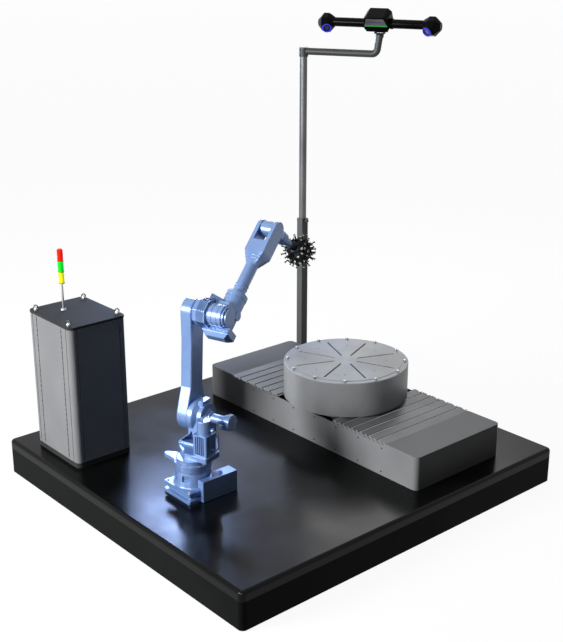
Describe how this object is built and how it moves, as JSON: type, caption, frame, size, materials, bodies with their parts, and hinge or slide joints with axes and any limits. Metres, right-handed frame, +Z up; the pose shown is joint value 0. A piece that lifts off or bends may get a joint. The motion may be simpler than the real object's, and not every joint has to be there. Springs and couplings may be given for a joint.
{
  "type": "three-dimensional scanner",
  "caption": "Automated optical scanning cell: articulated arm with a marker-caged scanner head, turntable on a covered rail, tracking camera on a mast, cabinet with signal lamps",
  "frame": {"origin": "On the floor, under the middle of the platform and of its centre levelling foot", "axes": "+X runs along the long side of the platform from the arm towards the mast, +Y along the rail from the open side towards the cabinet and the mast, +Z up"},
  "size_m": [5.3452, 4.5, 5.3716],
  "materials": {
    "black_coated_steel": "gloss black paint",
    "dark_frame_steel": "satin grey primer",
    "zinc_steel": "bright zinc plated",
    "cabinet_grey_paint": "satin light grey powder coat",
    "dark_grey_paint": "satin dark grey powder coat",
    "rail_grey_paint": "satin light grey powder coat",
    "machined_steel": "ground steel",
    "bellows_steel": "satin sheet steel",
    "turntable_steel": "satin grey",
    "robot_blue": "satin light blue metallic paint",
    "robot_dark_cable": "matt",
    "mast_grey": "satin grey",
    "mast_tube_grey": "satin anodised",
    "tracker_black": "gloss black",
    "lens_glass": "coated optical glass",
    "scanner_black": "fine matt texture",
    "scanner_grey": "satin",
    "marker_white": "retroreflective film",
    "lamp_red": "translucent lens",
    "lamp_green": "translucent lens",
    "lamp_yellow": "translucent lens",
    "bolt_steel": "plain"
  },
  "bodies": {
    "platform": {"platform_deck": "black_coated_steel", "platform_skirts": "black_coated_steel", "platform_frame": "dark_frame_steel", "levelling_feet": "zinc_steel", "cabinet_base": "dark_grey_paint", "cabinet_posts": "cabinet_grey_paint", "cabinet_panels": "cabinet_grey_paint", "cabinet_top": "dark_grey_paint", "cabinet_hinges": "zinc_steel", "cabinet_eyebolts": "zinc_steel", "cabinet_mounting_plate": "zinc_steel", "cabinet_drives": "dark_grey_paint", "stack_light_pole": "mast_tube_grey", "stack_light_red": "lamp_red", "stack_light_green": "lamp_green", "stack_light_yellow": "lamp_yellow", "rail_bed": "dark_frame_steel", "rail_side_plates": "rail_grey_paint", "rail_end_caps": "black_coated_steel", "linear_guides": "machined_steel", "drive_rack": "machined_steel", "bellows_near": "bellows_steel", "bellows_far": "bellows_steel", "robot_riser_plate": "robot_blue", "robot_base": "robot_blue", "robot_connector_box": "robot_blue", "anchor_bolts": "bolt_steel", "column_foot": "mast_grey", "column_tube": "mast_grey"},
    "door": {"cabinet_door": "cabinet_grey_paint"},
    "door_handle": {"cabinet_door_handle": "zinc_steel"},
    "carriage": {"carriage": "machined_steel", "turntable_pedestal": "dark_frame_steel"},
    "turntable": {"turntable_drum": "turntable_steel", "locating_knobs": "bolt_steel"},
    "waist": {"robot_waist": "robot_blue", "waist_motor": "robot_blue", "shoulder_motor": "robot_blue", "waist_cable": "robot_dark_cable"},
    "lower_arm": {"robot_lower_arm": "robot_blue"},
    "elbow": {"robot_elbow": "robot_blue", "elbow_motor_covers": "robot_blue", "forearm_bearing_ring": "robot_blue"},
    "forearm": {"robot_forearm": "robot_blue", "fork_covers": "robot_blue"},
    "wrist": {"robot_wrist": "robot_blue"},
    "tool": {"tool_flange": "robot_blue", "scanner_bracket": "robot_blue", "scanner_body": "scanner_grey", "scanner_lenses": "lens_glass", "marker_cage": "scanner_black", "reflective_markers": "marker_white"},
    "mast": {"mast_tube": "mast_tube_grey"},
    "mast_arm": {"mast_arm": "mast_grey", "mast_riser": "mast_grey", "tracker_yoke": "tracker_black"},
    "tracker": {"tracker_housing": "tracker_black", "tracker_bars": "tracker_black", "tracker_heads": "tracker_black", "tracker_lenses": "lens_glass"}
  },
  "joints": [
    {"name": "door_hinge", "type": "hinge", "parent": "platform", "child": "door", "pos_m": [-2.108, 1.911, 1.3], "axis": [0, 0, 1], "range_deg": [0, 110]},
    {"name": "handle_turn", "type": "hinge", "parent": "door", "child": "door_handle", "pos_m": [-1.594, 1.898, 1.293], "axis": [0, 1, 0], "range_deg": [0, 90]},
    {"name": "carriage_slide", "type": "slide", "parent": "platform", "child": "carriage", "axis": [0, 1, 0], "range_m": [-0.42, 0.42], "deforming": ["bellows_near", "bellows_far"]},
    {"name": "turntable_spin", "type": "hinge", "parent": "carriage", "child": "turntable", "pos_m": [1.027, -0.086, 1.1], "axis": [0, 0, 1], "continuous": true},
    {"name": "waist_turn", "type": "hinge", "parent": "platform", "child": "waist", "pos_m": [-1.514, -0.32, 0.443], "axis": [0, 0, 1], "range_deg": [-120, 45]},
    {"name": "shoulder_turn", "type": "hinge", "parent": "waist", "child": "lower_arm", "pos_m": [-1.2558, -0.24106, 1.249], "axis": [-0.2924, 0.9563, 0], "range_deg": [-15, 20]},
    {"name": "elbow_turn", "type": "hinge", "parent": "lower_arm", "child": "elbow", "pos_m": [-1.18662, -0.21991, 2.43179], "axis": [-0.2924, 0.9563, 0], "range_deg": [-20, 25]},
    {"name": "forearm_roll", "type": "hinge", "parent": "elbow", "child": "forearm", "pos_m": [-1.05957, -0.33792, 2.33518], "axis": [0.7107, 0.2173, 0.6691], "range_deg": [-60, 60]},
    {"name": "wrist_bend", "type": "hinge", "parent": "forearm", "child": "wrist", "pos_m": [-0.18687, -0.07111, 3.15687], "axis": [-0.2924, 0.9563, 0], "range_deg": [-60, 20]},
    {"name": "wrist_roll", "type": "hinge", "parent": "wrist", "child": "tool", "pos_m": [-0.18687, -0.07111, 3.15687], "axis": [0.8065, 0.2466, -0.5373], "range_deg": [-180, 180]},
    {"name": "mast_lift", "type": "slide", "parent": "platform", "child": "mast", "axis": [0, 0, 1], "range_m": [-0.5, 0.5]},
    {"name": "arm_swivel", "type": "hinge", "parent": "mast", "child": "mast_arm", "pos_m": [2.08, 1.9, 4.75], "axis": [0, 0, 1], "range_deg": [-90, 90]},
    {"name": "tracker_tilt", "type": "hinge", "parent": "mast_arm", "child": "tracker", "pos_m": [2.56665, 0.98474, 5.09651], "axis": [0.4067, -0.9135, 0], "range_deg": [-25, 25]}
  ]
}
